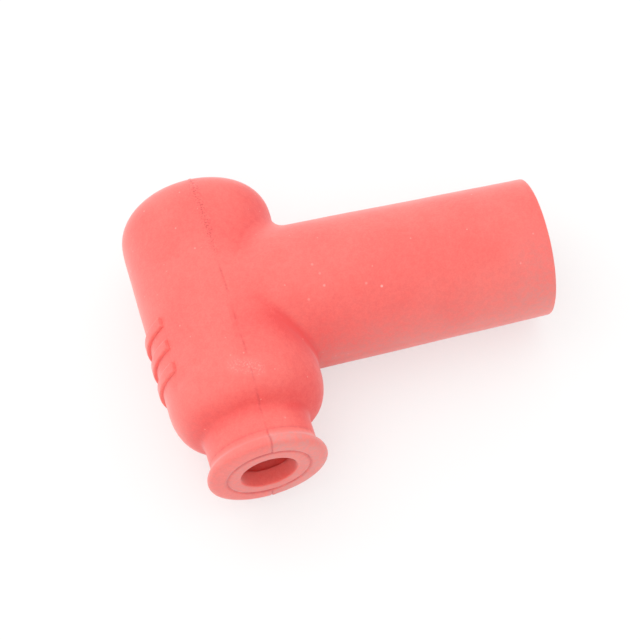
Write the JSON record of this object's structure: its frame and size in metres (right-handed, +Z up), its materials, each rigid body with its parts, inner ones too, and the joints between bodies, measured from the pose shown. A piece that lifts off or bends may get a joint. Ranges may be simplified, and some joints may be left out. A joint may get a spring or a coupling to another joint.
{
  "type": "spark plug cap",
  "caption": "Right-angle moulded rubber spark plug cap: domed head with a flanged collar for the ignition lead, tapered tube for the plug, brass plug socket inside.",
  "frame": {"origin": "on the ground, under the middle of the bounding box of the cap as it lies on its side", "axes": "+Z up; +X along the plug tube, from the head towards the tube's mouth; the lead's collar points along -Y and the head's dome along +Y"},
  "size_m": [0.052, 0.041, 0.0196],
  "materials": {
    "silicone_rubber": "matte red silicone rubber as moulded, with a dry bloom",
    "turned_brass": "turned",
    "spring_steel": "drawn wire",
    "screw_brass": "turned and threaded"
  },
  "bodies": {
    "root": {"rubber_boot": "silicone_rubber", "plug_socket": "turned_brass", "retaining_clip": "spring_steel", "lead_screw": "screw_brass"}
  },
  "joints": []
}
